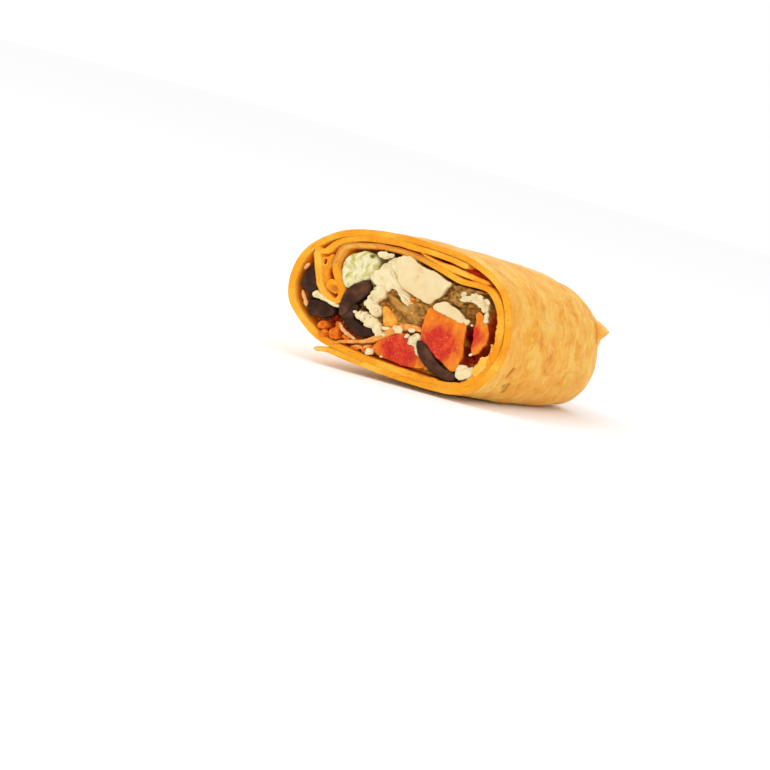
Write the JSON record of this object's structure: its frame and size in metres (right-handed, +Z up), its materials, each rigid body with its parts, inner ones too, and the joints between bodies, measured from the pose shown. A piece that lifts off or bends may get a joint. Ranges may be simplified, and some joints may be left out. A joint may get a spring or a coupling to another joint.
{
  "type": "chicken wrap half",
  "caption": "Half of a rolled tortilla wrap, cut on the bias, lying on its flattened side; the cut face shows chicken, olive, tomato, cheese, lettuce and carrot",
  "frame": {"origin": "Under the middle of the bounding box, at the height of the flattened underside that it rests on", "axes": "+Y along the roll from the cut end to the folded end, +X to the side where the cut face is turned, +Z up"},
  "size_m": [0.0653, 0.124, 0.0522],
  "materials": {
    "tortilla": "soft baked bread, matte with a faint oil sheen, toasted spots",
    "filling": "moist mixed filling in its juices",
    "chicken": "moist cooked chicken, satin",
    "browned_chicken": "moist browned chicken, satin",
    "lettuce": "crisp wet leaf rib",
    "olive": "smooth wet olive flesh",
    "tomato": "wet glossy tomato flesh",
    "cheese": "soft crumbled white cheese, matte",
    "cheddar": "soft orange cheese, satin",
    "carrot": "wet grated carrot"
  },
  "bodies": {
    "root": {"tortilla": "tortilla", "filling_core": "filling", "chicken_slab": "chicken", "chicken_strip": "chicken", "chicken_chip": "chicken", "chicken_shred_right": "chicken", "chicken_shred_low": "chicken", "chicken_brown": "browned_chicken", "chicken_dark": "browned_chicken", "lettuce_rib": "lettuce", "olive_ring": "olive", "olive_upper_left": "olive", "olive_lower_left": "olive", "olive_low": "olive", "tomato_middle": "tomato", "tomato_right": "tomato", "tomato_low": "tomato", "cheese_cream": "cheese", "cheese_crumble": "cheese", "cheese_thread": "cheese", "cheese_left": "cheese", "cheddar_piece": "cheddar", "carrot_shred": "carrot", "carrot_chunk": "carrot", "carrot_bit_left": "carrot", "carrot_bit_low": "carrot"}
  },
  "joints": []
}
